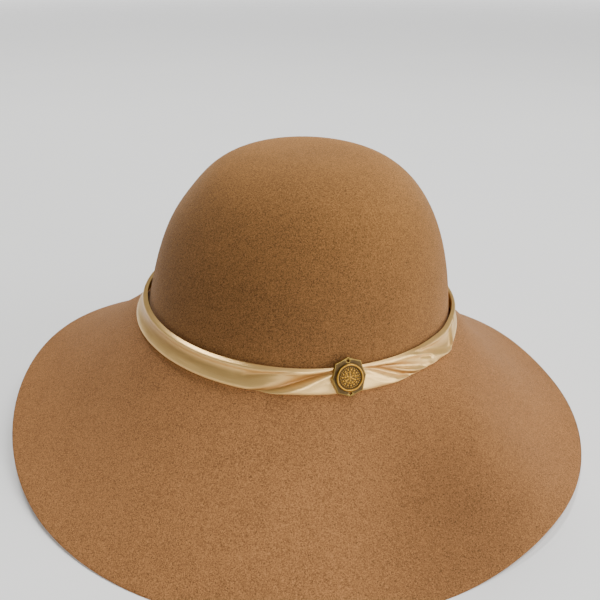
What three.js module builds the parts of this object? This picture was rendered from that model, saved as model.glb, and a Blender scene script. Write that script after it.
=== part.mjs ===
// Floppy hat: a felt crown and falling brim in one piece, a gathered satin band and a brass medallion.
// Millimetres, +Z up. The hat rests on its brim edge at z = 0, centred on the Z axis, and its front faces -Y.
import * as THREE from 'three';

const { sin, cos, acos, abs, min, max, exp, PI } = Math;
const rad = THREE.MathUtils.degToRad;
const lerp = THREE.MathUtils.lerp;

// Crown: an oval dome over the head opening
const HALF_WIDTH = 89;
const HALF_LENGTH = 98;
const MEAN_HALF = (HALF_WIDTH + HALF_LENGTH) / 2;
const FOOT_HEIGHT = 69.6;
const CROWN_HEIGHT = 94.7;
const CROWN_SIDE_POWER = 2.78;
const CROWN_TOP_POWER = 3.19;
const CROWN_TAPER = 0.143;
const CROWN_LEAN = 0.036;
const CROWN_TILT = rad(2);

// Felt: one wall thickness throughout
const WALL = 2;
const GAP = 0.3;

// Crook: the tight bend between crown and brim, in heights above the crown's foot
const CROOK_START = 6.5;
const CROOK_CORNER = 1.6;
const CROOK_END = 0.045;
const BRIM_START = 2;

// Brim: how far it reaches, and the fall's slope and curve as shares of its mean slope
const BRIM_REACH = 81;
const BRIM_FIRST_SLOPE = 1.25;
const BRIM_CURVE = -0.42;
const SIDE_STEEPER = 0.25;

// Lifts of the brim edge off the surface: azimuth from the front towards +X in degrees, rise in mm
const BRIM_LIFTS = [
  { azimuth: -105, halfWidth: 40, rise: 24 },
  { azimuth: 48, halfWidth: 15, rise: 4 },
  { azimuth: 122, halfWidth: 16, rise: 3 },
];

// Soft hollows and swells across the middle of the brim
const BRIM_SWELLS = [
  { azimuth: 20, halfWidth: 12.5, rise: -4.4 },
  { azimuth: 48, halfWidth: 13.5, rise: 4.2 },
  { azimuth: -58, halfWidth: 18, rise: -1.6 },
  { azimuth: -20, halfWidth: 16, rise: 1.2 },
  { azimuth: 150, halfWidth: 16, rise: -2 },
];

// Dents of the crown: height is a share of the crown's height, depth in mm
const CROWN_DENTS = [
  { azimuth: -84, halfWidth: 26, height: 0.76, halfHeight: 0.13, depth: 2.4 },
  { azimuth: 40, halfWidth: 40, height: 0.97, halfHeight: 0.06, depth: 1.2 },
  { azimuth: 150, halfWidth: 30, height: 0.7, halfHeight: 0.15, depth: 1.6 },
];

// Satin band section: out from the crown's foot and up above it, from the lower edge to the top edge
const BAND_FACE = [
  { out: 3.6, up: -0.7 },
  { out: 4.7, up: -0.5 },
  { out: 5.0, up: 0.7 },
  { out: 4.1, up: 2.6 },
  { out: 3.0, up: 4.6 },
  { out: 2.4, up: 6.6 },
  { out: 2.4, up: 8.5 },
  { out: 1.9, up: 10.1 },
  { out: 0.6, up: 10.8 },
];
// The band's back: how far it stands off the felt, its heights, then its stations round the crook
const BAND_BACK_GAP = 0.45;
const BAND_BACK_HEIGHTS = [10.5, 8];
const BAND_BACK_STATIONS = [1.2, 1.45, 1.7];

// Folds of the band: each runs along a line in azimuth and in height share, and is pressed in or raised
const BAND_FOLDS = [
  { from: -14, to: 13, fromShare: 0.06, toShare: 0.97, halfWidth: 1.8, rise: -1.5 },
  { from: -17, to: 8, fromShare: 0.4, toShare: 1, halfWidth: 1.3, rise: 0.6 },
  { from: 19, to: 40, fromShare: 0.94, toShare: 0.06, halfWidth: 1.7, rise: -1.7 },
  { from: 26, to: 47, fromShare: 0.8, toShare: 0.14, halfWidth: 1.4, rise: -1.3 },
  { from: 36, to: 63, fromShare: 1, toShare: 0.1, halfWidth: 1.8, rise: -0.9 },
  { from: 38, to: 64, fromShare: 0.84, toShare: 0.02, halfWidth: 1.3, rise: 1.2 },
];

// A fold keeps its depth over this share of its length either side of its middle, then fades over the next
const FOLD_FULL = 0.4;
const FOLD_FADE = 0.12;

// Stretches where the band leaves its even run: how far its top edge and its foot move up and out
const BAND_STANDS = [
  { azimuth: -86, halfWidth: 26, topUp: -0.4, topOut: 0.2, footUp: -1.1, footOut: 1.8 },
  { azimuth: 60, halfWidth: 7, topUp: -0.3, topOut: 0.4, footUp: -0.2, footOut: 1.2 },
  { azimuth: 94, halfWidth: 17, topUp: -2.2, topOut: 1.0, footUp: 1.2, footOut: -1.2 },
];

// The folded stretch of the band, in degrees, takes this share of its divisions
const FOLDED = { from: -25, to: 85, share: 0.5 };

// Medallion: an eight-cornered plate with a round relief disc on it
const MEDAL_AZIMUTH = rad(15.05);
const MEDAL_FACING = rad(15.9);
const MEDAL_OUT = 3.15;
const MEDAL_UP = 7.45;
const MEDAL_RAKE = rad(18);
const PLATE_THICKNESS = 1.6;
const PLATE_BEVEL = 0.35;
const PLATE_HOLLOW = 0.97;
const PLATE_HOLE_RADIUS = 0.7;
const PLATE_HOLE_HEIGHT = 8.1;
const PLATE_CORNERS = [
  { right: 0, up: 10 },
  { right: 6.6, up: 7.4 },
  { right: 8.8, up: 0 },
  { right: 6.6, up: -7.4 },
  { right: 0, up: -10 },
  { right: -6.6, up: -7.4 },
  { right: -8.8, up: 0 },
  { right: -6.6, up: 7.4 },
];

// Disc section: radius and height above the plate, from the middle of the face to the rim and its foot
const DISC_FACE = [
  { radius: 0, height: 1.5 },
  { radius: 1.1, height: 1.35 },
  { radius: 1.5, height: 0.9 },
  { radius: 2.6, height: 0.95 },
  { radius: 3.8, height: 0.95 },
  { radius: 4.9, height: 0.9 },
  { radius: 5.7, height: 0.8 },
  { radius: 6.1, height: 1.4 },
  { radius: 6.6, height: 1.4 },
  { radius: 7.0, height: 0.9 },
  { radius: 7.0, height: 0 },
];
const PETALS = 8;
const PETAL_RISE = 0.45;
const PETAL_MIDDLE = 3.6;
const PETAL_HALF_LENGTH = 1.5;

// The lift that is left flat on the surface, and the one from which the cut edge is square to the felt
const FLAT_LIFT = 0.4;
const SQUARE_LIFT = 3;

// Colours of the four finishes
const FELT_TAN = 0x9c7046;
const SATIN_CHAMPAGNE = 0xd9bd8c;
const AGED_BRASS = 0x6e6038;
const RELIEF_BRASS = 0xb08a48;

// How finely each piece is divided
const FELT_SEGMENTS = 72;
const BAND_SEGMENTS = 120;
const DISC_SEGMENTS = 48;
const CROWN_ROWS = 14;
const CROOK_ROWS = 3;
const BRIM_ROWS = 9;
const LINING_STEP = 2;
const OUTLINE_DIVISIONS = 600;
const NORMAL_STEP = 0.01;

// A smooth bump that is 1 at its middle and falls away over its half width
const bump = (distance, halfWidth) => exp(-((distance / halfWidth) ** 2));

// Degrees from one azimuth in degrees to another in radians, the short way round
const turnFrom = (azimuth, phi) => abs(((((phi * 180) / PI - azimuth) % 360) + 540) % 360 - 180);

const sumOf = (rows, weigh) => rows.reduce((total, row) => total + weigh(row), 0);

// A point in the vertical plane at one azimuth: outwards from the foot's oval, and up from the foot
function ovalPoint(phi, out, up, scale = 1) {
  const x = (HALF_WIDTH * scale + out) * sin(phi);
  const y = -(HALF_LENGTH * scale + out) * cos(phi);
  return new THREE.Vector3(x, y, up);
}

// The crown and what sits on it lean a little towards +X
const SIDE_AXIS = new THREE.Vector3(0, 1, 0);
function seatCrown(point) {
  point.x += CROWN_LEAN * max(0, point.z);
  point.applyAxisAngle(SIDE_AXIS, CROWN_TILT);
  point.z += FOOT_HEIGHT;
  return point;
}

// The dome's outline from top (0) to crook (1), as radius and height above the foot
class CrownOutline extends THREE.Curve {
  constructor() {
    super();
    this.arcLengthDivisions = OUTLINE_DIVISIONS;
    this.endAngle = acos((CROOK_START / CROWN_HEIGHT) ** (CROWN_SIDE_POWER / 2));
  }

  getPoint(t, target = new THREE.Vector2()) {
    const angle = t * this.endAngle;
    const height = CROWN_HEIGHT * cos(angle) ** (2 / CROWN_SIDE_POWER);
    const share = sin(angle) ** (2 / CROWN_TOP_POWER) * (1 - (CROWN_TAPER * height) / CROWN_HEIGHT);
    return target.set(MEAN_HALF * share, height);
  }

  // The station on the outline at a height above the foot
  stationAt(height) {
    return acos((height / CROWN_HEIGHT) ** (CROWN_SIDE_POWER / 2)) / this.endAngle;
  }
}

const crownOutline = new CrownOutline();

function crownPoint(phi, t) {
  const outline = crownOutline.getPoint(t);
  const height = outline.y / CROWN_HEIGHT;
  const dent = sumOf(CROWN_DENTS, (row) => row.depth
    * bump(turnFrom(row.azimuth, phi), row.halfWidth) * bump(height - row.height, row.halfHeight));
  const inwards = dent * (outline.x / MEAN_HALF);
  return seatCrown(ovalPoint(phi, -inwards, outline.y, outline.x / MEAN_HALF));
}

function edgeLift(phi) {
  const lift = sumOf(BRIM_LIFTS, (row) => row.rise * bump(turnFrom(row.azimuth, phi), row.halfWidth));
  return max(0, lift - FLAT_LIFT);
}

// The brim from the crook (0) to the cut edge (1)
function brimPoint(phi, t) {
  const start = seatCrown(ovalPoint(phi, BRIM_START, 0));
  const first = BRIM_FIRST_SLOPE + SIDE_STEEPER * sin(phi) ** 2;
  const fall = first * t + BRIM_CURVE * t ** 2 + (1 - first - BRIM_CURVE) * t ** 3;
  const swell = sin(PI * t) * sumOf(BRIM_SWELLS, (row) => row.rise
    * bump(turnFrom(row.azimuth, phi), row.halfWidth));
  const height = lerp(start.z, edgeLift(phi), fall) + swell;
  return new THREE.Vector3(start.x + BRIM_REACH * t * sin(phi), start.y - BRIM_REACH * t * cos(phi), height);
}

// The felt's outer face: stations 0 to 1 are the crown, 1 to 2 the crook and 2 to 3 the brim
function feltPoint(phi, station) {
  if (station <= 1) return crownPoint(phi, station);
  if (station >= 2) return brimPoint(phi, lerp(CROOK_END, 1, station - 2));
  const corner = seatCrown(ovalPoint(phi, 0, CROOK_CORNER));
  const bend = new THREE.QuadraticBezierCurve3(crownPoint(phi, 1), corner, brimPoint(phi, CROOK_END));
  return bend.getPoint(station - 1);
}

// The felt's outward direction, from the face a small step away on each side
function feltNormal(phi, station) {
  if (station < NORMAL_STEP) return new THREE.Vector3(0, 0, 1).applyAxisAngle(SIDE_AXIS, CROWN_TILT);
  const along = feltPoint(phi, min(3, station + NORMAL_STEP)).sub(feltPoint(phi, station - NORMAL_STEP));
  const round = feltPoint(phi + NORMAL_STEP, station).sub(feltPoint(phi - NORMAL_STEP, station));
  return along.cross(round).normalize();
}

// The felt's inner face; where the brim rests, its cut edge lies flat on the surface
function liningPoint(phi, station) {
  const normal = feltNormal(phi, station);
  const outer = feltPoint(phi, station);
  const square = outer.clone().addScaledVector(normal, -WALL);
  if (station < 3) return square;
  const inwards = new THREE.Vector3(-sin(phi), cos(phi), 0);
  const level = outer.clone().addScaledVector(inwards, -WALL / inwards.dot(normal));
  return level.lerp(square, min(1, edgeLift(phi) / SQUARE_LIFT));
}

// A lathe of the section at the front, whose vertices then move to their places at each azimuth
function shapedLathe(rows, segments, place) {
  const profile = rows.map((row) => {
    const point = place(0, row);
    return new THREE.Vector2(max(0, -point.y), point.z);
  });
  const geometry = new THREE.LatheGeometry(profile, segments);
  const position = geometry.getAttribute('position');
  for (let i = 0; i < position.count; i += 1) {
    const column = Math.floor(i / rows.length) % segments;
    const point = place((2 * PI * column) / segments, rows[i % rows.length]);
    position.setXYZ(i, point.x, point.y, point.z);
  }
  geometry.computeVertexNormals();
  return geometry;
}

function feltBody() {
  const crown = Array.from({ length: CROWN_ROWS }, (_, k) => crownOutline.getUtoTmapping(k / CROWN_ROWS));
  const crook = Array.from({ length: CROOK_ROWS }, (_, k) => 1 + k / CROOK_ROWS);
  const brim = Array.from({ length: BRIM_ROWS + 1 }, (_, k) => 2 + k / BRIM_ROWS);
  const stations = [...crown, ...crook, ...brim];
  const last = stations.length - 1;
  const lining = stations.filter((_, k) => k % LINING_STEP === 0 || k === last);
  const rows = [
    ...lining.map((station) => ({ station, place: liningPoint })),
    ...stations.toReversed().map((station) => ({ station, place: feltPoint })),
  ];
  return shapedLathe(rows, FELT_SEGMENTS, (phi, row) => row.place(phi, row.station));
}

// Degrees from -180 to 180
const degreesOf = (phi) => ((((phi * 180) / PI + 180) % 360) + 360) % 360 - 180;

// How far the band's face is raised or pressed in at one azimuth and height share
function foldRise(phi, share) {
  const bandHeight = BAND_FACE.at(-1).up - BAND_FACE[0].up;
  return sumOf(BAND_FOLDS, (row) => {
    const along = (degreesOf(phi) - row.from) / (row.to - row.from);
    const ends = bump(max(0, abs(along - 0.5) - FOLD_FULL), FOLD_FADE);
    const line = lerp(row.fromShare, row.toShare, along);
    return row.rise * ends * bump((share - line) * bandHeight, row.halfWidth);
  });
}

// How far the band's run moves at one azimuth and height share, along the top column and the foot column
const runMove = (phi, share, top, foot) => sumOf(BAND_STANDS, (row) => lerp(row[foot], row[top], share)
  * bump(turnFrom(row.azimuth, phi), row.halfWidth));

function bandFacePoint(phi, row) {
  const fold = row.onEdge ? 0 : foldRise(phi, row.share);
  const out = row.out + runMove(phi, row.share, 'topOut', 'footOut') + fold;
  return seatCrown(ovalPoint(phi, out, row.up + runMove(phi, row.share, 'topUp', 'footUp')));
}

function bandBackPoint(phi, row) {
  const lowered = runMove(phi, row.share, 'topUp', 'footUp');
  const station = row.height ? crownOutline.stationAt(row.height + lowered) : row.station;
  const stand = BAND_BACK_GAP + row.share * max(0, runMove(phi, 1, 'topOut', 'footOut'));
  return feltPoint(phi, station).addScaledVector(feltNormal(phi, station), stand);
}

// Spreads the columns so that the folded stretch has its share of them
function bandAzimuth(phi) {
  const turn = phi / (2 * PI);
  const folded = FOLDED.to - FOLDED.from;
  if (turn < FOLDED.share) return rad(FOLDED.from + (folded * turn) / FOLDED.share);
  return rad(FOLDED.to + ((360 - folded) * (turn - FOLDED.share)) / (1 - FOLDED.share));
}

// The band closes on itself: down its back along the felt, then up its face
function satinBand() {
  const top = BAND_FACE.length - 1;
  const backs = [
    ...BAND_BACK_HEIGHTS.map((height, k) => ({ height, share: 1 - k / 2 })),
    ...BAND_BACK_STATIONS.map((station) => ({ station, share: 0 })),
  ].map((row) => ({ ...row, place: bandBackPoint }));
  const faces = BAND_FACE.map((row, k) => ({
    ...row, share: k / top, onEdge: k === 0 || k === top, place: bandFacePoint,
  }));
  const rows = [...backs, ...faces, backs[0]];
  return shapedLathe(rows, BAND_SEGMENTS, (phi, row) => row.place(bandAzimuth(phi), row));
}

// Eight-cornered plate outline, each side slightly hollow
function plateOutline() {
  const shape = new THREE.Shape();
  shape.moveTo(PLATE_CORNERS[0].right, PLATE_CORNERS[0].up);
  PLATE_CORNERS.forEach((corner, k) => {
    const next = PLATE_CORNERS[(k + 1) % PLATE_CORNERS.length];
    const right = ((corner.right + next.right) / 2) * PLATE_HOLLOW;
    const up = ((corner.up + next.up) / 2) * PLATE_HOLLOW;
    shape.quadraticCurveTo(right, up, next.right, next.up);
  });
  return shape;
}

function medallionPlate() {
  const shape = plateOutline();
  for (const side of [1, -1]) {
    const hole = new THREE.Path();
    hole.absarc(0, side * PLATE_HOLE_HEIGHT, PLATE_HOLE_RADIUS, 0, 2 * PI);
    shape.holes.push(hole);
  }
  const geometry = new THREE.ExtrudeGeometry(shape, {
    depth: PLATE_THICKNESS - 2 * PLATE_BEVEL,
    bevelThickness: PLATE_BEVEL,
    bevelSize: PLATE_BEVEL,
    bevelOffset: -PLATE_BEVEL,
    bevelSegments: 1,
    curveSegments: 5,
  });
  return geometry.translate(0, 0, PLATE_BEVEL);
}

// The disc's field carries a ring of raised petals round a boss
function medallionDisc() {
  const back = { radius: 0, height: 0 };
  const rows = [back, ...DISC_FACE.toReversed()];
  return shapedLathe(rows, DISC_SEGMENTS, (phi, row) => {
    const petal = max(0, cos(PETALS * phi)) * bump(row.radius - PETAL_MIDDLE, PETAL_HALF_LENGTH);
    const rise = row.height > 0 && row.radius > 0 ? PETAL_RISE * petal : 0;
    return new THREE.Vector3(row.radius * sin(phi), -row.radius * cos(phi), row.height + rise);
  });
}

function piece(name, geometry, color, roughness, metalness) {
  const material = new THREE.MeshStandardMaterial({ color, roughness, metalness });
  material.name = name;
  const mesh = new THREE.Mesh(geometry, material);
  mesh.name = name;
  return mesh;
}

const hat = new THREE.Group();
hat.add(piece('felt_body', feltBody(), FELT_TAN, 0.95, 0));
hat.add(piece('satin_band', satinBand(), SATIN_CHAMPAGNE, 0.38, 0));

const medallion = new THREE.Group();
medallion.position.copy(seatCrown(ovalPoint(MEDAL_AZIMUTH, MEDAL_OUT, MEDAL_UP)));
medallion.rotation.set(PI / 2 - MEDAL_RAKE, 0, MEDAL_FACING, 'ZYX');
const plate = piece('medallion_plate', medallionPlate(), AGED_BRASS, 0.5, 0.85);
const disc = piece('medallion_disc', medallionDisc(), RELIEF_BRASS, 0.4, 0.9);
disc.position.z = PLATE_THICKNESS + GAP;
medallion.add(plate, disc);
hat.add(medallion);

export default hat;
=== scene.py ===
import math
from collections import namedtuple
from functools import lru_cache
from itertools import accumulate

import bmesh
import bpy
from mathutils import Euler, Matrix, Vector


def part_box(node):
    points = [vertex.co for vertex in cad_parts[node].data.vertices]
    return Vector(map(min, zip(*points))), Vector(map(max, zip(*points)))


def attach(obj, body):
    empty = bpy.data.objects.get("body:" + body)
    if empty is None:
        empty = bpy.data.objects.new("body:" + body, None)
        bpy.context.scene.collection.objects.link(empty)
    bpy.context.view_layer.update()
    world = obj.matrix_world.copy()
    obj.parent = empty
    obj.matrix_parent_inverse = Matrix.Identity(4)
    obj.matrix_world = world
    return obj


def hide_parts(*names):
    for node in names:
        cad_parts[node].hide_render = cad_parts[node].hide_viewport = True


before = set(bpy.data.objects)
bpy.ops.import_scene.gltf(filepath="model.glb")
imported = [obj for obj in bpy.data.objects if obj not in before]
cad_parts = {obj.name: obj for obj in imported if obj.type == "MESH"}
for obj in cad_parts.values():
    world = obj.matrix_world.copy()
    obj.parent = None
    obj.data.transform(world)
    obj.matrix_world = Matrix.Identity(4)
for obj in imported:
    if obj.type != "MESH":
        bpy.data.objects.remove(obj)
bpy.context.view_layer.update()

bl_info = {
    "name": "Floppy Hat",
    "version": (1, 0, 0),
    "blender": (4, 5, 0),
    "location": "View3D > Sidebar > Floppy Hat",
    "description": "A wide felt hat with a gathered satin band and a small brass rosette",
    "category": "Object",
}

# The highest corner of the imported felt, in metres, which gives the brim's reach
_, FELT_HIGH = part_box("felt_body")

# Crown: an oval dome over the head opening. Its powers make the side upright and the top round.
CROWN_SIDE_POWER = 2.78
CROWN_TOP_POWER = 3.19
CROWN_TAPER = 0.143
CROWN_LEAN = 0.036
CROWN_TILT = math.radians(2)
SEAT_TURN = Euler((0, CROWN_TILT, 0)).to_matrix()
OUTLINE_STEPS = 600

# Half the head opening's width at the crown's foot
HALF_WIDTH = 0.089

# Crook: the tight bend between crown and brim, in heights above the crown's foot
CROOK_START = 0.0065
CROOK_CORNER = 0.0016
CROOK_END = 0.045
BRIM_START = 0.002

# Brim: the fall's slope and curve as shares of its mean slope
BRIM_FIRST_SLOPE = 1.25
BRIM_CURVE = -0.42
SIDE_STEEPER = 0.25

# Lifts of the brim edge off the surface: azimuth from the front towards +X in degrees, rise in metres
Lift = namedtuple("Lift", "azimuth half_width rise")
BRIM_LIFTS = [
    Lift(-105, 40, 0.024),
    Lift(48, 15, 0.004),
    Lift(122, 16, 0.003),
]

# Soft hollows and swells across the middle of the brim
BRIM_SWELLS = [
    Lift(20, 12.5, -0.0056),
    Lift(48, 13.5, 0.0054),
    Lift(-58, 18, -0.0016),
    Lift(-20, 16, 0.0012),
    Lift(150, 16, -0.0020),
]

# Dents of the crown: height and half height are shares of the crown's height, depth in metres
Dent = namedtuple("Dent", "azimuth half_width height half_height depth")
CROWN_DENTS = [
    Dent(-84, 26, 0.76, 0.13, 0.0024),
    Dent(40, 40, 0.97, 0.06, 0.0012),
    Dent(150, 30, 0.70, 0.15, 0.0016),
]

# Lighter and darker patches of the felt, by a share: painted light and shade, partly the nap's own look.
# Painted shade on the brim at the front towards +X and on the crown's front and the wearer's right side,
# painted light on the brim either side of that shade, and a painted highlight round the back of the
# crown's top
NapAndPaintedShading = namedtuple("NapAndPaintedShading", "azimuth half_width station half_stations change")
NAP_AND_PAINTED_SHADING = [
    NapAndPaintedShading(31, 16, 2.72, 0.55, -0.26),
    NapAndPaintedShading(-40, 42, 2.60, 0.60, 0.10),
    NapAndPaintedShading(78, 20, 2.45, 0.50, 0.06),
    NapAndPaintedShading(-12, 44, 0.52, 0.18, -0.22),
    NapAndPaintedShading(-10, 60, 0.88, 0.24, -0.30),
    NapAndPaintedShading(-66, 36, 0.74, 0.40, -0.24),
    NapAndPaintedShading(180, 90, 0.26, 0.20, 0.40),
    NapAndPaintedShading(6, 50, 0.26, 0.18, -0.18),
    NapAndPaintedShading(10, 50, 0.72, 0.30, -0.12),
]

# The lift that is left flat on the surface, and the one from which the cut edge is square to the felt
FLAT_LIFT = 0.0004
SQUARE_LIFT = 0.003

# The station of the brim from which its lining turns level to rest on the surface
REST_FROM = 2.97

# How softly the lining stays above that surface
SOFT_REST = 0.0006

# The cut edge of the felt, from its outer face (depth 0) to its lining (depth 1)
CutRow = namedtuple("CutRow", "back depth")
CUT_EDGE = [
    CutRow(0.0050, 0.0),
    CutRow(0.0018, 0.08),
    CutRow(0.0004, 0.25),
    CutRow(0.0, 0.5),
    CutRow(0.0004, 0.75),
    CutRow(0.0018, 0.92),
    CutRow(0.0050, 1.0),
]

# Satin band's face: out from the crown's foot and up above it, from the lower edge to the top edge
FaceRow = namedtuple("FaceRow", "out up")
BAND_FACE = [
    FaceRow(0.0034, -0.0014),
    FaceRow(0.0047, -0.0009),
    FaceRow(0.0051, 0.0004),
    FaceRow(0.0044, 0.0020),
    FaceRow(0.0031, 0.0038),
    FaceRow(0.0021, 0.0058),
    FaceRow(0.0018, 0.0077),
    FaceRow(0.0024, 0.0093),
    FaceRow(0.0020, 0.0105),
    FaceRow(-0.0001, 0.0112),
]
BAND_TALL = BAND_FACE[-1].up - BAND_FACE[0].up

# Folds of the band. Each runs along a line of azimuth and height share. Its half widths are taken
# above and below that line, so that a crease has one steep side.
Fold = namedtuple("Fold", "start end start_share end_share above below rise")
BAND_FOLDS = [
    Fold(-15, 13, 0.02, 0.90, 0.0018, 0.0009, -0.0019),
    Fold(-16, 12, -0.16, 0.74, 0.0009, 0.0016, 0.0009),
    Fold(-18, -2, 0.50, 0.84, 0.0012, 0.0008, -0.0007),
    Fold(19, 40, 0.88, 0.06, 0.0017, 0.0009, -0.0020),
    Fold(17, 38, 0.66, -0.10, 0.0009, 0.0014, 0.0007),
    Fold(24, 47, 0.80, 0.20, 0.0012, 0.0008, -0.0017),
    Fold(30, 53, 0.58, 0.08, 0.0010, 0.0009, 0.0008),
    Fold(32, 44, 0.28, 0.10, 0.0008, 0.0006, -0.0010),
    Fold(43, 49, 0.58, 0.43, 0.0007, 0.0006, -0.0010),
    Fold(36, 63, 1.02, 0.22, 0.0020, 0.0014, -0.0009),
    Fold(38, 64, 0.84, 0.02, 0.0007, 0.0020, 0.0015),
    Fold(59, 68, 0.16, 0.80, 0.0006, 0.0008, -0.0010),
    Fold(61, 71, 0.10, 0.86, 0.0006, 0.0006, 0.0008),
    Fold(104, 150, 0.60, 0.35, 0.0012, 0.0018, -0.0009),
    Fold(-160, -110, 0.35, 0.60, 0.0018, 0.0012, -0.0008),
]

# The crease whose rise gives the satin its full painted shade, and the painted shade over the ribbon's
# hollow on the wearer's right side, which is turned away from the light
CREASE_OF_FULL_SHADE = 0.0021
SHADED_HOLLOW_AZIMUTH = -62
SHADED_HOLLOW_HALF_WIDTH = 42
SHADED_HOLLOW_SHARE = 0.62
SHADED_HOLLOW_HALF_SHARE = 0.22
SHADED_HOLLOW_STRENGTH = 0.7

# A fold keeps its rise over this share of its length either side of its middle, then fades
FOLD_FULL = 0.36
FOLD_FADE = 0.12

# Stretches where the band leaves its even run: how far its top edge and its foot move up and out
Stand = namedtuple("Stand", "azimuth half_width top_up top_out foot_up foot_out")
BAND_STANDS = [
    Stand(-86, 26, -0.0004, 0.0002, -0.0011, 0.0018),
    Stand(60, 7, -0.0003, 0.0004, -0.0004, 0.0012),
    Stand(94, 17, -0.0022, 0.0010, 0.0012, -0.0012),
]

# This share of the band's divisions lies in the stretch where its folds are
FOLDED_FROM = -28
FOLDED_TO = 80
FOLDED_SHARE = 0.6

# Medallion: where it sits on the band, and how it faces
MEDAL_AZIMUTH = math.radians(15.05)
MEDAL_FACING = math.radians(15.9)
MEDAL_RAKE = math.radians(18)
MEDAL_OUT = 0.00315
MEDAL_UP = 0.00745

# Plate: half widths of its upper right corners, from the top one clockwise to the right one
Corner = namedtuple("Corner", "right up")
PLATE_CORNERS = [Corner(0.0, 0.0100), Corner(0.0066, 0.0074), Corner(0.0088, 0.0)]
PLATE_HOLLOW = 0.97
PLATE_SIDE_STEPS = 5
PLATE_HOLE_HEIGHT = 0.0081
PLATE_HOLE_RADIUS = 0.0007

# Rosette section: radius and height above the plate, from the middle of the face to the rim's foot
DiscRow = namedtuple("DiscRow", "radius height")
DISC_FACE = [
    DiscRow(0.0, 0.00100),
    DiscRow(0.0030, 0.00095),
    DiscRow(0.0050, 0.00085),
    DiscRow(0.00565, 0.00072),
    DiscRow(0.00590, 0.00110),
    DiscRow(0.00610, 0.00138),
    DiscRow(0.00635, 0.00145),
    DiscRow(0.00662, 0.00138),
    DiscRow(0.00690, 0.00105),
    DiscRow(0.00700, 0.00080),
    DiscRow(0.00700, 0.0),
]
DISC_ROWS = 84
DISC_SEGMENTS = 288
BOSS_RADIUS = 0.0009
BOSS_RISE = 0.00055

# Rings of raised motifs on the rosette: count, middle radius, half length outwards, half width,
# rise, and the turn of the ring as a share of its pitch
Ring = namedtuple("Ring", "count radius half_long half_wide rise turned")
DISC_RINGS = [
    Ring(6, 0.00150, 0.00042, 0.00044, 0.00042, 0.5),
    Ring(9, 0.00268, 0.00062, 0.00060, 0.00052, 0.0),
    Ring(9, 0.00290, 0.00030, 0.00026, 0.00036, 0.5),
    Ring(15, 0.00392, 0.00046, 0.00060, 0.00050, 0.5),
    Ring(30, 0.00490, 0.00034, 0.00036, 0.00038, 0.0),
]

# Floor: half its side, and the distances from the hat between which it fades out
FLOOR_HALF = 8.0
FLOOR_FADES_FROM = 1.2
FLOOR_FADES_TO = 3.2

# Lamps: white disks that face the hat, with where each one hangs and how wide it is
Lamp = namedtuple("Lamp", "name location width")
LAMPS = [
    Lamp("top", (1.3, 0.1, 2.7), 2.0),
    Lamp("side", (2.4, -0.65, 0.9), 1.5),
    Lamp("front", (0.3, -2.2, 1.6), 1.4),
    Lamp("window", (1.7, -2.0, 0.75), 1.2),
    Lamp("back", (-0.9, 1.4, 2.4), 1.0),
]
LAMPS_FACE = Vector((0.0, 0.0, 0.08))
WHITE = (1.0, 1.0, 1.0, 1.0)

# Camera: its place, and its tilt up from straight down
CAMERA_PLACE = (0.00083, -0.43516, 0.27683)
CAMERA_TILT = math.radians(64.73)
CAMERA_SENSOR = 36.0


def bump(distance, half_width):
    """A smooth rise that is 1 at its middle and falls away over its half width."""
    return math.exp(-((distance / half_width) ** 2))


def azimuth_of(point):
    """The azimuth of a point from the front towards +X, in radians."""
    return math.atan2(point.x, -point.y)


def turn_from(azimuth, phi):
    """Degrees between an azimuth in degrees and one in radians, the short way round."""
    return abs((math.degrees(phi) - azimuth + 540) % 360 - 180)


def lerp(a, b, share):
    return a + (b - a) * share


def through(values, share):
    """A smooth run through evenly spaced values, at a share from 0 to 1 of the way."""
    last = len(values) - 1
    spot = min(max(share, 0.0), 1.0) * last
    k = min(int(spot), last - 1)
    before, here, there, after = (values[min(max(k + step, 0), last)] for step in (-1, 0, 1, 2))
    t = spot - k
    bend = (2 * before - 5 * here + 4 * there - after) * t * t
    twist = (3 * here - before - 3 * there + after) * t ** 3
    return 0.5 * (2 * here + (there - before) * t + bend + twist)


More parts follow.
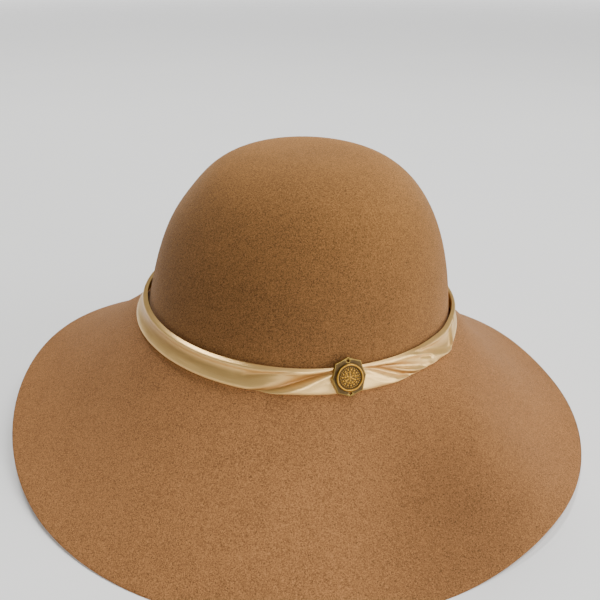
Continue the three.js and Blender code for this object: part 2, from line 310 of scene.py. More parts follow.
class HatForm:
    """The blocked shape of the felt, and of what sits on it, at any azimuth from the front."""

    def __init__(self, sizes):
        self.half_width = sizes.half_width
        self.half_length = sizes.half_length
        self.foot_height = sizes.foot_height
        self.crown_height = sizes.crown_height
        self.brim_reach = sizes.brim_reach
        self.wall = sizes.felt_wall
        self.mean_half = (sizes.half_width + sizes.half_length) / 2
        self.end_angle = self.angle_at(CROOK_START)

    def angle_at(self, height):
        return math.acos((height / self.crown_height) ** (CROWN_SIDE_POWER / 2))

    def oval(self, phi, out, up, scale=1.0):
        """A point outwards from the foot's oval, and up from the foot."""
        x = (self.half_width * scale + out) * math.sin(phi)
        y = -(self.half_length * scale + out) * math.cos(phi)
        return Vector((x, y, up))

    def seat(self, point):
        """The crown and what sits on it lean a little towards +X."""
        point.x += CROWN_LEAN * max(0.0, point.z)
        point.rotate(SEAT_TURN)
        point.z += self.foot_height
        return point

    def outline(self, station):
        """The dome's outline from top (0) to crook (1): radius share and height above the foot."""
        angle = station * self.end_angle
        rise = max(0.0, math.cos(angle)) ** (2 / CROWN_SIDE_POWER)
        share = math.sin(angle) ** (2 / CROWN_TOP_POWER) * (1 - CROWN_TAPER * rise)
        return share, rise * self.crown_height

    def crown_stations(self, count):
        """Stations at even lengths along the crown's outline, from the top to the crook."""
        fine = [self.outline(k / OUTLINE_STEPS) for k in range(OUTLINE_STEPS + 1)]
        places = [Vector((share * self.mean_half, height)) for share, height in fine]
        steps = ((there - here).length for here, there in zip(places, places[1:]))
        lengths = list(accumulate(steps, initial=0.0))
        stations, k = [], 0
        for n in range(count):
            wanted = lengths[-1] * n / count
            while lengths[k + 1] < wanted:
                k += 1
            part = (wanted - lengths[k]) / (lengths[k + 1] - lengths[k])
            stations.append((k + part) / OUTLINE_STEPS)
        return stations

    @lru_cache(maxsize=None)
    def dent_depths(self, phi):
        return [row.depth * bump(turn_from(row.azimuth, phi), row.half_width) for row in CROWN_DENTS]

    def crown(self, phi, station):
        share, height = self.outline(station)
        level = height / self.crown_height
        dent = sum(
            depth * bump(level - row.height, row.half_height)
            for row, depth in zip(CROWN_DENTS, self.dent_depths(phi))
        )
        return self.seat(self.oval(phi, -dent * share, height, share))

    @lru_cache(maxsize=None)
    def edge_lift(self, phi):
        lift = sum(row.rise * bump(turn_from(row.azimuth, phi), row.half_width) for row in BRIM_LIFTS)
        return max(0.0, lift - FLAT_LIFT)

    @lru_cache(maxsize=None)
    def swell(self, phi):
        return sum(row.rise * bump(turn_from(row.azimuth, phi), row.half_width) for row in BRIM_SWELLS)

    def brim(self, phi, t):
        """The brim from the crook (0) to the cut edge (1)."""
        start = self.seat(self.oval(phi, BRIM_START, 0.0))
        first = BRIM_FIRST_SLOPE + SIDE_STEEPER * math.sin(phi) ** 2
        fall = first * t + BRIM_CURVE * t ** 2 + (1 - first - BRIM_CURVE) * t ** 3
        swell = math.sin(math.pi * t) * self.swell(phi)
        reach = self.brim_reach * t
        height = lerp(start.z, self.edge_lift(phi), fall) + swell
        return Vector((start.x + reach * math.sin(phi), start.y - reach * math.cos(phi), height))

    def outer(self, phi, station):
        """The felt's outer face: stations 0 to 1 are the crown, 1 to 2 the crook, 2 to 3 the brim."""
        if station <= 1:
            return self.crown(phi, station)
        if station >= 2:
            return self.brim(phi, lerp(CROOK_END, 1.0, station - 2))
        t = station - 1
        corner = self.seat(self.oval(phi, 0.0, CROOK_CORNER))
        before = self.crown(phi, 1.0).lerp(corner, t)
        after = corner.lerp(self.brim(phi, CROOK_END), t)
        return before.lerp(after, t)

    def normal(self, phi, station, step=0.01):
        """The felt's outward direction, from the face a small step away on each side."""
        if station < step:
            return Vector((math.sin(CROWN_TILT), 0, math.cos(CROWN_TILT)))
        along = self.outer(phi, min(3.0, station + step)) - self.outer(phi, station - step)
        round_ = self.outer(phi + step, station) - self.outer(phi - step, station)
        return along.cross(round_).normalized()

    def lining(self, phi, station):
        """The felt's inner face. Where the brim rests, its cut edge lies flat on the surface."""
        normal = self.normal(phi, station)
        outer = self.outer(phi, station)
        face = outer - normal * self.wall
        resting = max(0.0, (station - REST_FROM) / (3 - REST_FROM))
        if resting > 0.0:
            inwards = Vector((-math.sin(phi), math.cos(phi), 0))
            level = outer - inwards * (self.wall / inwards.dot(normal))
            level = level.lerp(face, min(1.0, self.edge_lift(phi) / SQUARE_LIFT))
            face = face.lerp(level, resting)
        face.z = (face.z + math.hypot(face.z, SOFT_REST)) / 2
        return face

    def felt(self, phi, row):
        """A point of the felt at a row's station, from its outer face (depth 0) to its lining."""
        station, depth = row
        if depth == 0.0:
            return self.outer(phi, station)
        if depth == 1.0:
            return self.lining(phi, station)
        return self.outer(phi, station).lerp(self.lining(phi, station), depth)


class BandForm:
    """The satin band's folded face, and its back one ribbon's thickness behind."""

    def __init__(self, hat):
        self.hat = hat
        self.outs = [row.out for row in BAND_FACE]
        self.ups = [row.up for row in BAND_FACE]

    def azimuth(self, turn):
        """Spreads the columns so that the folded stretch has its share of them."""
        folded = FOLDED_TO - FOLDED_FROM
        if turn < FOLDED_SHARE:
            return math.radians(FOLDED_FROM + folded * turn / FOLDED_SHARE)
        rest = (turn - FOLDED_SHARE) / (1 - FOLDED_SHARE)
        return math.radians(FOLDED_TO + (360 - folded) * rest)

    @lru_cache(maxsize=None)
    def section(self, share):
        """The face's even section at a height share: out and up."""
        return through(self.outs, share), through(self.ups, share)

    @lru_cache(maxsize=None)
    def folds_at(self, phi):
        """The folds that cross one azimuth, with how much of each and the height share there."""
        degrees = (math.degrees(phi) + 180) % 360 - 180
        crossing = []
        for row in BAND_FOLDS:
            along = (degrees - row.start) / (row.end - row.start)
            past = max(0.0, abs(along - 0.5) - FOLD_FULL)
            if past < 3 * FOLD_FADE:
                line = lerp(row.start_share, row.end_share, along)
                crossing.append((row, row.rise * bump(past, FOLD_FADE), line))
        return crossing

    @lru_cache(maxsize=None)
    def stand_at(self, phi):
        """How far the top edge and the foot leave their even run: top up, top out, foot up, foot out."""
        moves = [0.0] * 4
        for row in BAND_STANDS:
            weight = bump(turn_from(row.azimuth, phi), row.half_width)
            moves = [move + weight * part for move, part in zip(moves, row[2:])]
        return moves

    def face(self, phi, share):
        out, up = self.section(share)
        top_up, top_out, foot_up, foot_out = self.stand_at(phi)
        free = math.sin(math.pi * share) ** 0.5 if 0 < share < 1 else 0.0
        for row, rise, line in self.folds_at(phi):
            across = (share - line) * BAND_TALL
            out += free * rise * bump(across, row.above if across > 0 else row.below)
        out += lerp(foot_out, top_out, share)
        return self.hat.seat(self.hat.oval(phi, out, up + lerp(foot_up, top_up, share)))

    def depth(self, phi, share):
        """How much painted shade a place of the face gets, from 0 to 1: in the creases of its folds, and
        over the ribbon's hollow on the wearer's right side, which is turned away from the light.
        """
        hollow = SHADED_HOLLOW_STRENGTH * bump(share - SHADED_HOLLOW_SHARE, SHADED_HOLLOW_HALF_SHARE)
        deep = hollow * bump(turn_from(SHADED_HOLLOW_AZIMUTH, phi), SHADED_HOLLOW_HALF_WIDTH)
        for row, rise, line in self.folds_at(phi):
            across = (share - line) * BAND_TALL
            deep -= rise / CREASE_OF_FULL_SHADE * bump(across, row.above if across > 0 else row.below)
        return min(1.0, max(0.0, deep))

    def back(self, phi, share, thickness, step=0.02):
        """The ribbon's back, one thickness behind its face."""
        face = self.face(phi, share)
        along = self.face(phi, min(1.0, share + step)) - self.face(phi, max(0.0, share - step))
        round_ = self.face(phi + step, share) - self.face(phi - step, share)
        return face + along.cross(round_).normalized() * thickness


def medallion_place(hat):
    """The matrix from the medallion's own plane, x right and y up, to its seat on the band."""
    seat = hat.seat(hat.oval(MEDAL_AZIMUTH, MEDAL_OUT, MEDAL_UP))
    turn = Matrix.Rotation(MEDAL_FACING, 4, "Z") @ Matrix.Rotation(math.pi / 2 - MEDAL_RAKE, 4, "X")
    return Matrix.Translation(seat) @ turn


def wrapped(rows, columns, place, closed=False):
    """Wraps a grid right round the Z axis: its rows follow a section, its columns are azimuths.

    place(phi, row) gives the point of one row at one azimuth from the front.
    """
    section = [*range(len(rows)), 0] if closed else [*range(len(rows))]
    bm = bmesh.new()
    bmesh.ops.create_grid(bm, x_segments=columns, y_segments=len(section) - 1, size=1.0)
    number = bm.verts.layers.int.new("row")
    for vert in bm.verts:
        column = round((vert.co.x + 1) / 2 * columns) % columns
        vert[number] = section[round((vert.co.y + 1) / 2 * (len(section) - 1))]
        vert.co = place(math.tau * column / columns, rows[vert[number]])
    bmesh.ops.remove_doubles(bm, verts=bm.verts, dist=1e-7)
    bmesh.ops.recalc_face_normals(bm, faces=bm.faces)
    return bm, number


def finished(bm, name, material):
    """Turns a bmesh into a named object that rides on the hat's only body."""
    mesh = bpy.data.meshes.new(name)
    for face in bm.faces:
        face.smooth = True
    bm.to_mesh(mesh)
    bm.free()
    mesh.materials.append(material)
    piece = bpy.data.objects.new(name, mesh)
    bpy.context.scene.collection.objects.link(piece)
    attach(piece, "root")
    return piece


class Value:
    """A number on a shader socket. Arithmetic on it adds the Math nodes."""

    def __init__(self, nodes, socket):
        self.nodes = nodes
        self.socket = socket

    def math(self, operation, other):
        return self.nodes.node("ShaderNodeMath", {"operation": operation}, {0: self, 1: other})

    def __add__(self, other):
        return self.math("ADD", other)

    __radd__ = __add__

    def __mul__(self, other):
        return self.math("MULTIPLY", other)

    __rmul__ = __mul__

    def __sub__(self, other):
        return self.math("SUBTRACT", other)

    def __rsub__(self, other):
        return (self * -1).math("ADD", other)


class Nodes:
    """A node tree in the making."""

    def __init__(self, tree):
        self.tree = tree

    def connect(self, target, value):
        if isinstance(value, Value):
            self.tree.links.new(value.socket, target)
        else:
            target.default_value = value

    def node(self, kind, settings=None, inputs=None, output=0):
        """Adds one node: its settings first, then the values or links of its sockets."""
        made = self.tree.nodes.new(kind)
        for name, value in (settings or {}).items():
            setattr(made, name, value)
        for name, value in (inputs or {}).items():
            self.connect(made.inputs[name], value)
        return Value(self, made.outputs[output])


class Finish(Nodes):
    """A material in the making, with its Principled shader."""

    def __init__(self, name):
        self.material = bpy.data.materials.new(name)
        self.material.use_nodes = True
        super().__init__(self.material.node_tree)
        self.shader = self.tree.nodes["Principled BSDF"]

    def feed(self, **sockets):
        """Sets or links the shader's sockets, named with underscores for spaces."""
        for name, value in sockets.items():
            self.connect(self.shader.inputs[name.replace("_", " ")], value)

    def place(self):
        """Where a point of the piece lies, in metres."""
        return self.node("ShaderNodeTexCoord", output="Object")

    def painted(self, name):
        """A number kept at each corner of the mesh."""
        return self.node("ShaderNodeAttribute", {"attribute_name": name}, output="Fac")

    def noise(self, vector, scale, detail=2.0, roughness=0.5, distortion=0.0):
        inputs = {"Vector": vector, "Scale": scale, "Detail": detail,
                  "Roughness": roughness, "Distortion": distortion}
        return self.node("ShaderNodeTexNoise", None, inputs)

    def spread(self, value, low, high, to_low=0.0, to_high=1.0):
        """Maps a value's range onto another one, and keeps it inside."""
        inputs = {"Value": value, "From Min": low, "From Max": high,
                  "To Min": to_low, "To Max": to_high}
        return self.node("ShaderNodeMapRange", {"clamp": True}, inputs)

    def mix(self, factor, first, second):
        """A colour between two others."""
        inputs = {0: factor, 6: first, 7: second}
        return self.node("ShaderNodeMix", {"data_type": "RGBA"}, inputs, output=2)

    def relief(self, height, distance, strength, onto=None):
        """A fine relief for the surface's normal, from a height and its real depth."""
        inputs = {"Height": height, "Distance": distance, "Strength": strength}
        if onto is not None:
            inputs["Normal"] = onto
        return self.node("ShaderNodeBump", None, inputs)


def shade(colour, factor):
    """A colour made lighter or darker by a factor, with its alpha kept."""
    return tuple(min(1.0, part * factor) for part in colour[:3]) + (1.0,)


def felt_finish(colours):
    """Brushed wool felt: short matted fibres, soft mottling and a dusty nap."""
    felt = Finish("felt")
    place = felt.place()
    mottle = felt.noise(place, 45.0, 4.0, 0.6)
    matting = felt.noise(place, 420.0, 3.0, 0.7, 0.6)
    fibres = felt.noise(place, 1800.0, 2.0, 0.6, 1.0)
    grain = mottle * 0.07 + matting * 0.10 + fibres * 0.83
    # The grain's tone is multiplied by the painted light and shade kept at each corner of the felt
    tone = felt.spread(grain, 0.38, 0.62, 0.48, 1.52) * felt.painted("nap")
    # Painted shade: the crown takes a shaded copy of the felt colour, a little less blue, and the brim
    # keeps the felt's own colour
    wool = felt.mix(felt.painted("crown"), shade(colours.felt, 2.0), shade(colours.felt_crown, 2.0))
    colour = felt.mix(tone * 0.5, (0.0, 0.0, 0.0, 1.0), wool)
    felt.feed(
        Base_Color=colour,
        Roughness=felt.spread(fibres, 0.3, 0.7, 0.86, 0.98),
        Sheen_Weight=0.2,
        Sheen_Roughness=0.34,
        Sheen_Tint=shade(colours.felt_nap, 1.0),
        Specular_IOR_Level=0.15,
    )
    soft = felt.relief(matting, 0.00035, 0.5)
    felt.feed(Normal=felt.relief(fibres, 0.00022, 0.7, onto=soft))
    return felt.material


def satin_finish(colours):
    """Champagne satin: long floats of thread that shine, with faint streaks along the ribbon."""
    satin = Finish("satin")
    run = satin.node("ShaderNodeUVMap", {"uv_map": "ribbon"})
    stretched = satin.node(
        "ShaderNodeMapping", None, {"Vector": run, "Scale": (60.0, 2600.0, 1.0)})
    streaks = satin.noise(stretched, 1.0, 2.0, 0.6)
    cloudy = satin.noise(satin.place(), 120.0, 3.0, 0.5)
    tone = satin.spread(streaks * 0.5 + cloudy * 0.5, 0.35, 0.65)
    even = satin.mix(tone, shade(colours.satin, 0.93), shade(colours.satin, 1.05))
    satin.feed(
        # The satin takes its painted shade colour in the creases of its folds and over its hollow on the
        # wearer's right side
        Base_Color=satin.mix(satin.painted("depth"), even, colours.satin_fold),
        Roughness=satin.spread(streaks, 0.3, 0.7, 0.30, 0.38),
        Metallic=0.62,
        IOR=1.6,
        Specular_IOR_Level=0.6,
        Anisotropic=0.88,
        Anisotropic_Rotation=0.25,
        Normal=satin.relief(streaks, 0.00004, 0.35),
    )
    return satin.material


def brass_finish(name, colours, bright, worn):
    """Cast brass with dark patina low in its relief and worn metal on what stands proud.

    worn is the range of relief over which the patina gives way to the worn metal.
    """
    brass = Finish(name)
    place = brass.place()
    patches = brass.noise(place, 700.0, 4.0, 0.65)
    grain = brass.noise(place, 3000.0, 2.0, 0.6)
    wear = brass.spread(brass.painted("relief") + (patches - 0.5) * 0.4, 0.22, 0.22 + worn)
    dark = brass.mix(patches, shade(colours.patina, 0.6), shade(colours.patina, 1.5))
    brass.feed(
        Base_Color=brass.mix(wear, dark, bright),
        Metallic=brass.spread(wear, 0.0, 1.0, 0.55, 0.95),
        Roughness=brass.spread(wear + (grain - 0.5) * 0.3, 0.0, 1.0, 0.62, 0.34),
        Normal=brass.relief(grain, 0.00005, 0.5),
    )
    return brass.material


def floor_finish(colours):
    """A plain pale surface with a faint unevenness, which fades into the pale surround."""
    pale = Finish("studio_floor")
    place = pale.place()
    cloudy = pale.noise(place, 3.0, 3.0, 0.5)
    far = pale.node("ShaderNodeVectorMath", {"operation": "LENGTH"}, {0: place}, output="Value")
    pale.feed(
        Base_Color=pale.mix(cloudy, shade(colours.floor, 0.97), shade(colours.floor, 1.03)),
        Roughness=0.9,
        Specular_IOR_Level=0.2,
        Alpha=pale.spread(far, FLOOR_FADES_FROM, FLOOR_FADES_TO, 1.0, 0.0),
    )
    return pale.material


def size(name, description, default):
    return bpy.props.FloatProperty(
        name=name, description=description, default=default, min=0.0, unit="LENGTH", precision=4)


def colour(name, description, default):
    return bpy.props.FloatVectorProperty(
        name=name, description=description, default=(*default, 1.0), size=4,
        min=0.0, max=1.0, subtype="COLOR")


def power(name, description, default):
    return bpy.props.FloatProperty(
        name=name, description=description, default=default, min=0.0, unit="POWER")


def strength(name, description, default):
    return bpy.props.FloatProperty(name=name, description=description, default=default, min=0.0)


class HatSizes(bpy.types.PropertyGroup):
    half_width: size("Half width", "Half the head opening's width at the crown's foot", HALF_WIDTH)
    half_length: size("Half length", "Half the head opening's length at the crown's foot", 0.098)
    foot_height: size("Foot height", "Height of the crown's foot above the resting brim", 0.0696)
    crown_height: size("Crown height", "Height of the dome above its foot", 0.0947)
    felt_wall: size("Felt wall", "Thickness of the felt", 0.002)
    brim_reach: size(
        "Brim reach", "How far the brim spreads, measured level", FELT_HIGH.x - HALF_WIDTH - BRIM_START)
    ribbon: size("Ribbon", "Thickness of the folded ribbon", 0.0007)
    plate: size("Plate", "Thickness of the medallion's plate", 0.0016)
    disc_gap: size("Disc gap", "Gap between the plate and the rosette", 0.0003)


class HatColours(bpy.types.PropertyGroup):
    felt: colour("Felt", "Colour of the wool felt", (0.266, 0.121, 0.043))
    # Painted shade: a shaded copy of the felt colour for the crown, a little less blue
    felt_crown: colour("Felt crown", "Colour of the wool felt on the crown", (0.264, 0.1225, 0.037))
    felt_nap: colour("Felt nap", "Colour of the light that the nap scatters", (0.85, 0.62, 0.42))
    satin: colour("Satin", "Colour of the satin ribbon", (0.985, 0.620, 0.215))
    # Painted shade: the darker colour that the satin takes in its creases and over its hollow
    satin_fold: colour("Satin fold", "Colour of the satin deep in its folds", (0.340, 0.140, 0.022))
    gilt: colour("Gilt", "Colour of the rosette's worn brass", (0.500, 0.262, 0.036))
    brass: colour("Brass", "Colour of the plate's worn brass", (0.370, 0.235, 0.056))
    patina: colour("Patina", "Colour of the brass's dark patina", (0.095, 0.054, 0.014))
    floor: colour("Floor", "Colour of the surface under the hat", (0.90, 0.90, 0.885))


class StageSettings(bpy.types.PropertyGroup):
    top: power("Top light", "Power of the light above the right side", 64.0)
    side: power("Side light", "Power of the low light from the right", 32.0)
    front: power("Front light", "Power of the light from the front", 34.0)
    window: power("Window light", "Power of the low light from the front right", 19.0)
    back: power("Back light", "Power of the light from behind", 60.0)
    sky: strength("Sky", "Strength of the even light from all round", 0.015)
    surround: strength("Surround", "Brightness of the pale surround behind the floor", 1.4)
    lens: bpy.props.FloatProperty(
        name="Lens", description="Focal length of the camera", default=48.0,
        unit="CAMERA", subtype="DISTANCE_CAMERA")


class HatProperties(bpy.types.PropertyGroup):
    sizes: bpy.props.PointerProperty(
        type=HatSizes, name="Sizes", description="The hat's driving sizes")
    colours: bpy.props.PointerProperty(
        type=HatColours, name="Colours", description="The colours of its finishes")
    stage: bpy.props.PointerProperty(
        type=StageSettings, name="Stage", description="The lights and the camera")


class HAT_OT_felt_body(bpy.types.Operator):
    """Model the felt crown and brim, one blocked body with its true wall"""

    bl_idname = "hat.felt_body"
    bl_label = "Felt body"

    SEGMENTS = 288
    CROWN_ROWS = 56
    CROOK_ROWS = 8
    BRIM_ROWS = 44
    LINING_STEP = 2

    def execute(self, context):
        hat = HatForm(context.scene.hat.sizes)
        crown = hat.crown_stations(self.CROWN_ROWS)
        crook = [1 + k / self.CROOK_ROWS for k in range(self.CROOK_ROWS)]
        brim = [2 + k / self.BRIM_ROWS for k in range(self.BRIM_ROWS)]
        stations = crown + crook + brim
        rows = [(station, 1.0) for station in stations[::self.LINING_STEP]]
        rows += [(3 - row.back, row.depth) for row in reversed(CUT_EDGE)]
        rows += [(station, 0.0) for station in reversed(stations)]
        bm, number = wrapped(rows, self.SEGMENTS, hat.felt)
        # Each corner keeps its share of painted light and shade, partly the nap's own look
        nap = bm.verts.layers.float.new("nap")
        # Each corner also keeps how far it takes the crown's shaded copy of the felt colour: fully over
        # the crown's upper half, none from the middle of the crook
        crown_shaded_copy_share = bm.verts.layers.float.new("crown")
        for vert in bm.verts:
            station = rows[vert[number]][0]
            vert[nap] = self.nap(azimuth_of(vert.co), station)
            vert[crown_shaded_copy_share] = min(1.0, max(0.0, 1.5 - station))
        body = finished(bm, "felt_hat", felt_finish(context.scene.hat.colours))
        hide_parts("felt_body")
        return {"FINISHED"}

    def nap(self, phi, station):
        """How light the felt is painted at one place, as a share of its own colour: painted light and
        shade, partly the nap's own look.
        """
        return 1 + sum(
            row.change * bump(turn_from(row.azimuth, phi), row.half_width)
            * bump(station - row.station, row.half_stations)
            for row in NAP_AND_PAINTED_SHADING
        )


class HAT_OT_satin_band(bpy.types.Operator):
    """Model the satin band with its gathers beside the medallion"""

    bl_idname = "hat.satin_band"
    bl_label = "Satin band"

    SEGMENTS = 960
    FACE_ROWS = 68
    BACK_ROWS = 24
    LENGTH = 0.61
    WIDTH = 0.014

    def execute(self, context):
        sizes = context.scene.hat.sizes
        hat = HatForm(sizes)
        band = BandForm(hat)
        face = [(k / self.FACE_ROWS, 0.0) for k in range(self.FACE_ROWS + 1)]
        back = [(1 - (k + 0.5) / self.BACK_ROWS, 1.0) for k in range(self.BACK_ROWS)]

        def place(phi, row):
            share, behind = row
            azimuth = band.azimuth((phi / math.tau) % 1.0)
            if behind:
                return band.back(azimuth, share, sizes.ribbon)
            return band.face(azimuth, share)

        rows = face + back
        bm, number = wrapped(rows, self.SEGMENTS, place, closed=True)
        # Each corner of the face keeps how much painted shade it gets; the back gets none
        depth = bm.verts.layers.float.new("depth")
        for vert in bm.verts:
            share, behind = rows[vert[number]]
            vert[depth] = 0.0 if behind else band.depth(azimuth_of(vert.co), share)
        self.unroll(bm, number, rows, band)
        ribbon = finished(bm, "satin_ribbon", satin_finish(context.scene.hat.colours))
        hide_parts("satin_band")
        return {"FINISHED"}

    def unroll(self, bm, number, rows, band):
        """Lays the ribbon out flat in its UV map: its length in u and its width in v, in metres."""
        layer = bm.loops.layers.uv.new("ribbon")
        for face in bm.faces:
            turns = [azimuth_of(loop.vert.co) / math.tau for loop in face.loops]
            far = max(turns)
            for loop, turn in zip(face.loops, turns):
                if far - turn > 0.5:
                    turn += 1
                share = rows[loop.vert[number]][0]
                loop[layer].uv = (turn * self.LENGTH, share * self.WIDTH)


class HAT_OT_medallion(bpy.types.Operator):
    """Model the medallion: an eight-cornered plate and a round rosette on it"""

    bl_idname = "hat.medallion"
    bl_label = "Medallion"

    HOLE_SEGMENTS = 20
    EDGE_BEVEL = 0.00035
    EDGE_INSET = 0.0003
    SHARP_EDGE = math.radians(40)
    CREASED_FROM = math.radians(35)
    FLAT_RELIEF = 0.24
    EDGE_RELIEF = 1.6
    FIELD_HEIGHT = 0.0008
    FIELD_TALL = 0.0006
    FOOT_HEIGHT = 0.0003
    FOOT_RELIEF = 0.2

    def execute(self, context):
        hat = HatForm(context.scene.hat.sizes)
        colours = context.scene.hat.colours
        where = medallion_place(hat)
        self.plate(context.scene.hat.sizes, colours, where)
        self.rosette(context.scene.hat.sizes, colours, where)
        return {"FINISHED"}

    def outline(self):
        """Points round the plate's outline, each side a little hollow."""
        quarter = [Vector(corner) for corner in PLATE_CORNERS]
        half = quarter + [Vector((c.x, -c.y)) for c in reversed(quarter[:-1])]
        corners = half + [Vector((-c.x, c.y)) for c in reversed(half[1:-1])]
        points = []
        for here, there in zip(corners, corners[1:] + corners[:1]):
            middle = (here + there) / 2 * PLATE_HOLLOW
            for k in range(PLATE_SIDE_STEPS):
                t = k / PLATE_SIDE_STEPS
                points.append(here.lerp(middle, t).lerp(middle.lerp(there, t), t))
        return points

    def plate(self, sizes, colours, where):
        bm = bmesh.new()
        rim = [bm.verts.new((*point, 0.0)) for point in self.outline()]
        edges = [bm.edges.new(pair) for pair in zip(rim, rim[1:] + rim[:1])]
        for side in (1, -1):
            hole = bmesh.ops.create_circle(
                bm, segments=self.HOLE_SEGMENTS, radius=PLATE_HOLE_RADIUS,
                matrix=Matrix.Translation((0, side * PLATE_HOLE_HEIGHT, 0)))
            edges += list({edge for vert in hole["verts"] for edge in vert.link_edges})
        bmesh.ops.triangle_fill(bm, edges=edges, use_beauty=True)
        raised = bmesh.ops.extrude_face_region(bm, geom=bm.faces[:])
        lifted = [item for item in raised["geom"] if isinstance(item, bmesh.types.BMVert)]
        bmesh.ops.translate(bm, verts=lifted, vec=(0, 0, sizes.plate))
        bmesh.ops.recalc_face_normals(bm, faces=bm.faces)
        sharp = [edge for edge in bm.edges if edge.calc_face_angle(0.0) > self.SHARP_EDGE
                 and all(vert.co.z > sizes.plate / 2 for vert in edge.verts)]
        bmesh.ops.bevel(
            bm, geom=sharp, offset=self.EDGE_BEVEL, segments=3, profile=0.5, affect="EDGES",
            material=-1)
        top = [face for face in bm.faces if face.normal.z > 0.99]
        bmesh.ops.inset_region(bm, faces=top, thickness=self.EDGE_INSET)
        relief = bm.verts.layers.float.new("relief")
        for vert in bm.verts:
            edge_near = max((abs(e.calc_face_angle(0.0)) for e in vert.link_edges), default=0.0)
            vert[relief] = min(1.0, self.FLAT_RELIEF + self.EDGE_RELIEF * edge_near)
        bmesh.ops.transform(bm, matrix=where, verts=bm.verts)
        piece = finished(bm, "brass_plate", brass_finish("aged_brass", colours, colours.brass, 0.7))
        piece.data.set_sharp_from_angle(angle=self.CREASED_FROM)
        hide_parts("medallion_plate")

    def motif(self, phi, radius):
        """How far the rosette's motifs rise at one place of its field."""
        rise = BOSS_RISE * bump(radius, BOSS_RADIUS * 0.7)
        for ring in DISC_RINGS:
            pitch = math.tau / ring.count
            turned = (phi / pitch + ring.turned) % 1.0 - 0.5
            across = turned * pitch * ring.radius
            inside = (across / ring.half_wide) ** 2 + ((radius - ring.radius) / ring.half_long) ** 2
            rise = max(rise, ring.rise * math.sqrt(max(0.0, 1 - inside)))
        return rise

    def rosette(self, sizes, colours, where):
        radii = [row.radius for row in DISC_FACE]
        heights = [row.height for row in DISC_FACE]
        shares = [k / DISC_ROWS for k in range(DISC_ROWS + 1)]
        field = DISC_FACE[3].radius
        base = sizes.plate + sizes.disc_gap

        def place(phi, share):
            if share is None:
                return Vector((0, 0, base))
            radius = max(0.0, through(radii, share)) if share else 0.0
            height = max(0.0, through(heights, share))
            rise = self.motif(phi, radius) if radius < field else 0.0
            return Vector((radius * math.sin(phi), -radius * math.cos(phi), base + height + rise))

        rows = [None] + shares[::-1]
        bm, _ = wrapped(rows, DISC_SEGMENTS, place)
        relief = bm.verts.layers.float.new("relief")
        for vert in bm.verts:
            height = vert.co.z - base
            proud = (height - self.FIELD_HEIGHT) / self.FIELD_TALL
            vert[relief] = min(1.0, max(0.0, proud))
            if height < self.FOOT_HEIGHT:
                vert[relief] = self.FOOT_RELIEF
        bmesh.ops.transform(bm, matrix=where, verts=bm.verts)
        piece = finished(bm, "brass_rosette", brass_finish("relief_brass", colours, colours.gilt, 0.5))
        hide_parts("medallion_disc")


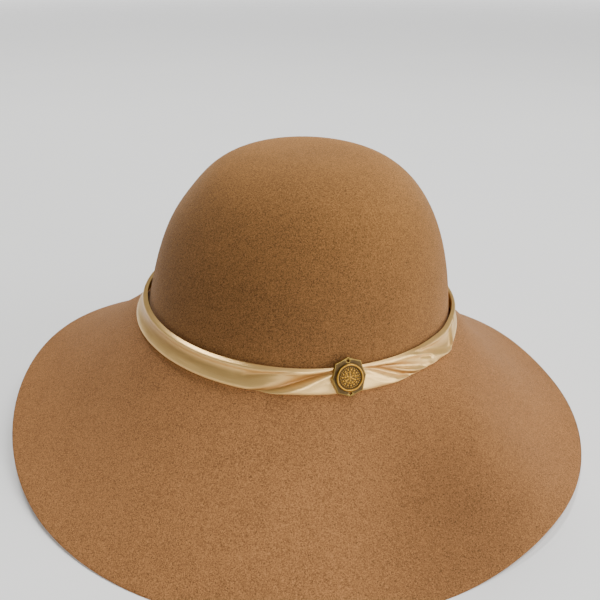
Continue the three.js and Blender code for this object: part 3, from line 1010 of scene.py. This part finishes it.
class HAT_OT_stage(bpy.types.Operator):
    """Set the floor, the soft studio light and the camera"""

    bl_idname = "hat.stage"
    bl_label = "Stage"

    def execute(self, context):
        scene = context.scene
        settings = scene.hat.stage
        self.floor(scene)
        for lamp in LAMPS:
            self.light(scene, lamp, getattr(settings, lamp.name))
        self.surround(scene, settings)
        self.camera(scene, settings)
        return {"FINISHED"}

    def floor(self, scene):
        bm = bmesh.new()
        bmesh.ops.create_grid(bm, x_segments=1, y_segments=1, size=FLOOR_HALF)
        mesh = bpy.data.meshes.new("studio_floor")
        bm.to_mesh(mesh)
        bm.free()
        mesh.materials.append(floor_finish(scene.hat.colours))
        floor = bpy.data.objects.new("studio_floor", mesh)
        scene.collection.objects.link(floor)

    def light(self, scene, lamp, power):
        name = f"{lamp.name}_light"
        light = bpy.data.lights.new(name, "AREA")
        light.shape = "DISK"
        light.size = lamp.width
        light.energy = power
        holder = bpy.data.objects.new(name, light)
        holder.location = lamp.location
        towards = LAMPS_FACE - Vector(lamp.location)
        holder.rotation_euler = towards.to_track_quat("-Z", "Y").to_euler()
        scene.collection.objects.link(holder)

    def surround(self, scene, settings):
        """A faint even sky lights the hat, and a pale surround shows behind the floor."""
        world = bpy.data.worlds.new("studio")
        world.use_nodes = True
        tree = world.node_tree
        tree.nodes.remove(tree.nodes["Background"])
        studio = Nodes(tree)
        sky = studio.node("ShaderNodeBackground", None, {"Color": WHITE, "Strength": settings.sky})
        pale = studio.node(
            "ShaderNodeBackground", None, {"Color": WHITE, "Strength": settings.surround})
        seen = studio.node("ShaderNodeLightPath", output="Is Camera Ray")
        both = studio.node("ShaderNodeMixShader", None, {0: seen, 1: sky, 2: pale})
        studio.connect(tree.nodes["World Output"].inputs["Surface"], both)
        scene.world = world

    def camera(self, scene, settings):
        lens = bpy.data.cameras.new("camera")
        lens.lens = settings.lens
        lens.sensor_width = CAMERA_SENSOR
        camera = bpy.data.objects.new("camera", lens)
        camera.location = CAMERA_PLACE
        camera.rotation_euler = (CAMERA_TILT, 0.0, 0.0)
        scene.collection.objects.link(camera)
        scene.camera = camera


class HAT_PT_pieces(bpy.types.Panel):
    """The hat's pieces, sizes and colours"""

    bl_idname = "HAT_PT_pieces"
    bl_label = "Floppy Hat"
    bl_space_type = "VIEW_3D"
    bl_region_type = "UI"
    bl_category = "Floppy Hat"

    def draw(self, context):
        layout = self.layout
        for operator in OPERATORS:
            layout.operator(operator.bl_idname)
        for group in ("sizes", "colours", "stage"):
            box = layout.box()
            settings = getattr(context.scene.hat, group)
            for name in settings.__annotations__:
                box.prop(settings, name)


OPERATORS = (HAT_OT_felt_body, HAT_OT_satin_band, HAT_OT_medallion, HAT_OT_stage)
CLASSES = (HatSizes, HatColours, StageSettings, HatProperties, *OPERATORS, HAT_PT_pieces)


def register():
    for cls in CLASSES:
        bpy.utils.register_class(cls)
    bpy.types.Scene.hat = bpy.props.PointerProperty(
        type=HatProperties, name="Hat", description="The floppy hat's sizes and colours")


def unregister():
    del bpy.types.Scene.hat
    for cls in reversed(CLASSES):
        bpy.utils.unregister_class(cls)


def main():
    register()
    bpy.ops.hat.felt_body()
    bpy.ops.hat.satin_band()
    bpy.ops.hat.medallion()
    bpy.ops.hat.stage()


if __name__ == "__main__":
    main()
